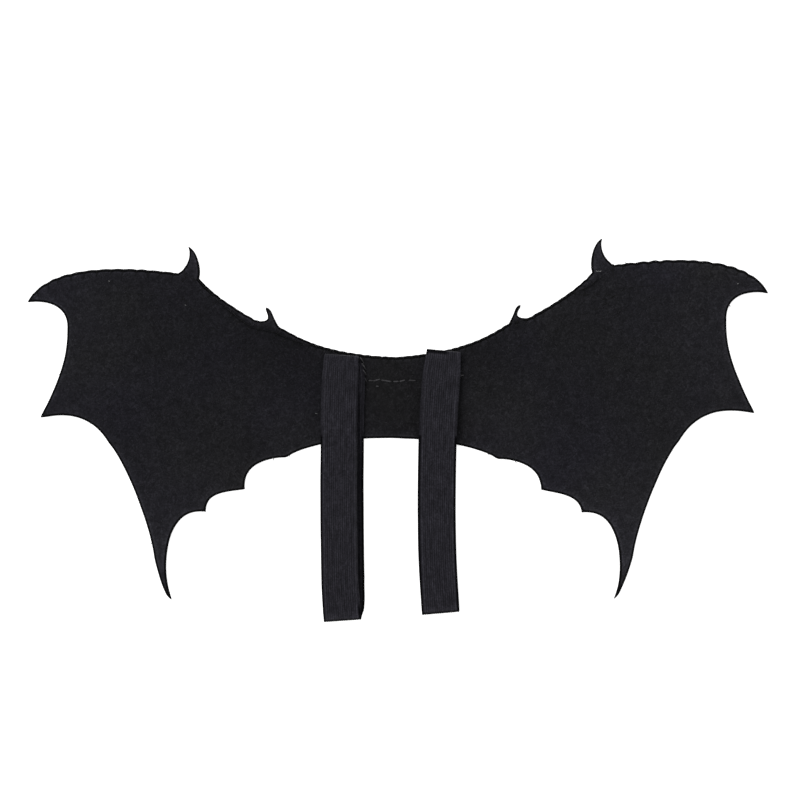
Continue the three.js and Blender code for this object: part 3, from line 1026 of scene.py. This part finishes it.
def curled(section, width, angles):
    """The section at each station with its right margin curled into the loop: angles are at its edge."""
    least_angle = 0.001
    across, out = section[:, 0], section[:, 1]
    past = np.maximum(across - (width / 2 - CURL_MARGIN), 0)
    angles = np.maximum(angles, least_angle)[:, None]
    radius = CURL_MARGIN / angles
    turn = angles * past / CURL_MARGIN
    bent_across = across - past + (radius + out) * np.sin(turn)
    bent_out = out * np.cos(turn) - radius * (1 - np.cos(turn))
    return bent_across[:, :, None], bent_out[:, :, None]


def side_shifts(middle, from_end, low_shift, under_shift, seed):
    """How far each station lies beside the model: a skew free end, a lower strand that shows, and sway."""
    under = smooth_step(np.arange(len(middle)) / len(middle), *UNDER_TURN)
    shift = low_shift * MM * (1 - smooth_step(from_end, 0, LOW_SHIFT_REACH))
    under_share = smooth_step(from_end, *UNDER_STARTS) * (1 - smooth_step(from_end, *UNDER_ENDS))
    shift = shift + under_shift * MM * under * under_share
    return shift + STRAND_SWAY * noise_at(middle, SWAY_LENGTH, seed)


def band_corners(count, around, handed):
    """The station and the spot on the section of each corner of the band's quads."""
    station, spot = np.divmod(np.arange(count * around), around)
    beside = (spot + 1) % around
    stations = np.stack([station, station + 1, station + 1, station], axis=1)
    spots = np.stack([spot, spot, beside, beside], axis=1)
    return stations[:, ::handed], spots[:, ::handed]


def band_shade_and_highlight(rings, middle, shown_back, sections, felt_edge):
    """Painted shade on the band's points: dark at free edges and turns, less so with something behind, and
    painted highlights beside them.
    """
    free, backed_tones = (section[:, 3] for section in sections)
    beyond = rings[:, :, 1] - np.interp(rings[:, :, 0], felt_edge[:, 0], felt_edge[:, 1])
    beyond = smooth_step(beyond, *FREE_OF_FELT)
    backed = smooth_step(middle[:, 1], WAIST_LOW, WAIST_LOW + SELVEDGE)[:, None] * (1 - beyond)
    backed = np.maximum(backed, shown_back)
    tones = (1 - backed) * free + backed * backed_tones
    # painted shade on the turns, with a painted highlight before each
    tones = tones_at(middle[:, 1] - middle[:, 1].min(), FOLD_SHADE_AND_HIGHLIGHT)[:, None] * tones
    from_top = middle[:, 1].max() - middle[:, 1]
    top_tones = tones_at(from_top - TOP_FOLD, FOLD_SHADE_AND_HIGHLIGHT)[:, None]
    return tones * (1 + beyond[from_top.argmin()] * (top_tones - 1))


def elastic_loop(look, felt_edge, node, curl, low_shift, under_shift, back_shows, seed):
    """A closed loop of ribbed elastic on the node's place."""
    middle, span, thickness, length = loop_stations(node)
    count = len(middle)
    across = unit(span)
    widths = np.linalg.norm(span, axis=1)
    width = widths.max()
    low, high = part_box(node)
    from_end = middle[:, 1] - low.y
    middle = middle + side_shifts(middle, from_end, low_shift, under_shift, seed)[:, None] * across
    ahead = unit(np.roll(middle, -1, axis=0) - np.roll(middle, 1, axis=0))
    out = unit(np.cross(ahead, across))
    upper_station = count // 4
    handed = int(np.sign(out[upper_station, 2]))
    out = handed * out
    upper = out[:, 2] > 0
    unfolded = smooth_step(high.y - middle[:, 1], *CURL_FROM_TOP) * smooth_step(from_end, *CURL_FROM_END)
    angles = math.radians(curl) * unfolded * np.where(upper, 1, LOWER_CURL)
    sections = [
        elastic_section(width, thickness, tone) for tone in (FREE_SELVEDGE_SHADE, BACKED_SELVEDGE_SHADE)]
    section = sections[0]
    bent_across, bent_out = curled(section, width, angles)
    fit = (widths / width)[:, None, None]
    rings = middle[:, None] + fit * bent_across * across[:, None] + bent_out * out[:, None]
    rings[:, :, 2] = np.maximum(rings[:, :, 2], TABLE_CLEAR)
    stations, spots = band_corners(count, len(section), handed)
    quads = stations % count * len(section) + spots
    piece = new_piece(node + "_band", rings.reshape(-1, 3), quads.tolist(), look)
    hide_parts(node)
    # painted shade on the selvedges and turns, lighter where the loop's other strand shows behind
    shown_back = back_shows * (upper * smooth_step(from_end, *BACK_STARTS))[:, None] * (section[:, 0] > 0)
    tones = band_shade_and_highlight(rings, middle, shown_back, sections, felt_edge)
    store_painted_light(piece, np.repeat(tones.reshape(-1, 1), 3, axis=1))
    ribs_and_metres = np.column_stack([section[spots.ravel(), 2], stations.ravel() * (length / count)])
    piece.data.uv_layers.new(name="band").data.foreach_set("uv", ribs_and_metres.ravel())


# The pieces

felt = felt_material("black_felt", lightness=1.0)
claw_look = felt_material("claw_black_felt", CLAW_LIGHTNESS)
elastic = elastic_material()
black_thread, pale_thread, nap_look, fleck_look, lint_look = (
    fibre_material(**row) for row in FIBRE_COLOURS)

panel_outline, panel_corners, panel_tips = outline_of("wing_panel")
strip_outline, strip_corners, strip_tips = outline_of("claw_strip")
stitches = overcast_places(panel_outline, strip_outline)
panel_cut = cut_outline(
    panel_outline, panel_corners, panel_tips, stitches, "panel", seed=5, tip_spare=TIP_SPARE)
strip_cut = cut_outline(
    strip_outline, strip_corners, strip_tips, stitches, "strip", seed=6, tip_spare=CLAW_SPARE,
    tip_point=CLAW_POINT)
panel_edge = top_edge_of(panel_cut)
strip_edge = top_edge_of(strip_cut)
pulls = [{"place": stitch["panel"] - PULL_INSET * stitch["out"], **OVERCAST_PULL} for stitch in stitches]
dashes = [(np.array(dash["start"]) * MM, np.array(dash["end"]) * MM) for dash in PALE_DASHES]
pulls += [{"place": place, **PALE_PULL} for ends in dashes for place in ends]


def strip_shows(points):
    """How much of the strip shows past the panel's top edge near each point, and how far that edge is."""
    shows = smooth_step(nearest(panel_edge, strip_cut)[1], *STRIP_SHOWS)
    index, distances = nearest(points, panel_edge)
    return shows[index], distances


def lifted_share(points):
    """How much the panel's top edge is lifted near each point, from 0 to 1, and how far the edge is."""
    shows, distances = strip_shows(points)
    first, last = LIFT_ENDS
    between = smooth_step(points[:, 0], first, first + LIFT_FADE)
    between = between * smooth_step(-points[:, 0], -last, LIFT_FADE - last)
    return shows * between, distances


def panel_waves(points):
    """How far the panel's points are lifted: slow waves beside the waist, and the lifted edge."""
    waves = 0.5 + 0.5 * np.clip(WAVE_CONTRAST * noise_at(points, WAVE_LENGTH, WAVE_SEED), -1, 1)
    waves = WAVE_RISE * waves * smooth_step(np.abs(points[:, 0]), WAIST_HALF, WAVE_START)
    share, distances = lifted_share(points)
    return waves + EDGE_LIFT * share * np.maximum(0, 1 - distances / EDGE_LIFT_REACH) ** 2


def panel_light_and_shade(points):
    """Painted light and shade on the panel, with the painted shadow and highlight along the lifted edge.
    """
    share, distances = lifted_share(points)
    return felt_light_and_shade(points) * (1 + share * (tones_at(distances, LIFTED_EDGE_SHADE_AND_HIGHLIGHT) - 1))[:, None]


def panel_rim(points, from_rim):
    """Where the panel's points lie on the rim's painted shade and highlight: further in where its edge
    lies on the strip.
    """
    shows, distances = strip_shows(points)
    return from_rim + RIM_ON_STRIP * shows * (distances < RIM_REACH)


def claw_rim(points, from_rim):
    """Where the strip's points lie on the rim's painted shade and highlight, which are narrower at the
    claws' tips.
    """
    at_tip = 1 - smooth_step(nearest(points, strip_tips)[1], *TIP_RIM_ENDS)
    return from_rim * (1 + TIP_RIM_SQUEEZE * at_tip)


panel = felt_sheet(
    "wing_felt", "wing_panel", panel_cut, felt, panel_light_and_shade, panel_rim, seed=11, waves=panel_waves,
    pulls=pulls)
strip = felt_sheet("claw_felt", "claw_strip", strip_cut, claw_look, felt_light_and_shade, claw_rim, seed=12)

dash_paths = [
    sewn_path(panel.height, *ends, PALE_THREAD, dash["rise"]) for ends, dash in zip(dashes, PALE_DASHES)]
pale_seam = threads("pale_seam", dash_paths, PALE_THREAD, pale_thread, sides=8)
whip_paths = [whip_path(panel.height, stitch["x"] * MM, stitch["y"] * MM) for stitch in WHIP_STITCHES]
whip_stitches = threads("whip_stitches", whip_paths, WHIP_THREAD, pale_thread, sides=8)
slant_draw = draws(seed=3)
over_paths = [overcast_path(panel.height, stitch, slant_draw) for stitch in stitches]
overcast = threads("overcast_edge", over_paths, BLACK_THREAD, black_thread, sides=6)
seam_paths = hidden_seam_paths(panel.height, panel_outline)
black_seam = threads("black_seam", seam_paths, BLACK_THREAD, black_thread, sides=6)

face = face_fibres(panel, panel.triangles, NAP_COUNT, NAP_LENGTHS, seed=4)
fuzz = edge_fibres(panel, panel_cut, seed=5)
nap = strands("felt_nap", np.concatenate([face, fuzz]), NAP_RADIUS * FIBRE_TAPER, nap_look, sides=3)
clumps = face_fibres(
    panel, panel.triangles, FLECK_COUNT, FLECK_LENGTHS, seed=8, patches=FLECK_PATCHES)
flecks = strands("felt_flecks", clumps, FLECK_RADIUS * FIBRE_TAPER, fleck_look, sides=5)
bare_strip = strip.triangles[~inside(strip.top[strip.triangles, :2].mean(axis=1), panel_cut)]
strip_face = face_fibres(strip, bare_strip, CLAW_NAP_COUNT, NAP_LENGTHS, seed=6)
strip_fuzz = edge_fibres(strip, strip_edge, seed=7)
strip_fibres = np.concatenate([strip_face, strip_fuzz])
strip_nap = strands("claw_nap", strip_fibres, NAP_RADIUS * FIBRE_TAPER, nap_look, sides=3)
specks = [lint_path(panel.height, speck, LINT_SEED + k) for k, speck in enumerate(LINT)]
lint = threads("lint", specks, LINT_RADIUS, lint_look, sides=6)

waist_edge = strip_edge[np.abs(strip_edge[:, 0]) < WAIST_HALF]
for strap in STRAPS:
    elastic_loop(elastic, waist_edge, **strap)

# Floor, light and camera

PHOTO_WIDTH = 532.2 * MM  # what the picture spans at the part's height
PHOTO_MIDDLE = (1.4 * MM, 20.19 * MM)
LENS = 85.0
SENSOR = 36.0
PART_HEIGHT = 4 * MM
FLOOR_HALF = 30.0
FLOOR_GLOW = 0.75  # a white table lit from below, as shops use, so shadows on it are faint
FLOOR_TONES = ((0.3, 0.9), (0.7, 0.93))
DOME = 0.62
KEY_PLACE = (-1.9, 1.0, 3.4)
KEY_SIZE = 2.6
KEY_POWER = 75


def add_floor():
    low, high = -FLOOR_HALF, FLOOR_HALF
    corners = [(low, low, 0), (high, low, 0), (high, high, 0), (low, high, 0)]
    mesh = bpy.data.meshes.new("floor")
    mesh.from_pydata(corners, [], [(0, 1, 2, 3)])
    made, tree, shader, place = new_material(
        "white_floor", roughness=0.7, specular_ior_level=0.1, emission_color=(1, 1, 1, 1),
        emission_strength=FLOOR_GLOW)
    cloud = noise_node(tree, place, size=300 * MM, Detail=2.0)
    tree.links.new(tone_ramp(tree, cloud, FLOOR_TONES), shader.inputs["Base Color"])
    mesh.materials.append(made)
    linked("floor", mesh)


def add_softbox(name, place, size, power):
    light = bpy.data.lights.new(name, "AREA")
    light.shape = "DISK"
    light.size = size
    light.energy = power
    box = linked(name, light)
    box.location = place
    box.rotation_euler = (-Vector(place)).to_track_quat("-Z", "Y").to_euler()


def add_surroundings():
    world = bpy.data.worlds.new("studio")
    world.use_nodes = True
    background = world.node_tree.nodes["Background"]
    background.inputs["Color"].default_value = (1, 1, 1, 1)
    background.inputs["Strength"].default_value = DOME
    bpy.context.scene.world = world
    bpy.context.scene.view_settings.view_transform = "Standard"


def add_camera():
    data = bpy.data.cameras.new("camera")
    data.lens = LENS
    data.sensor_width = SENSOR
    camera = linked("camera", data)
    camera.location = (*PHOTO_MIDDLE, PART_HEIGHT + PHOTO_WIDTH * LENS / SENSOR)
    bpy.context.scene.camera = camera


add_floor()
add_surroundings()
add_softbox("key", KEY_PLACE, KEY_SIZE, KEY_POWER)
add_camera()
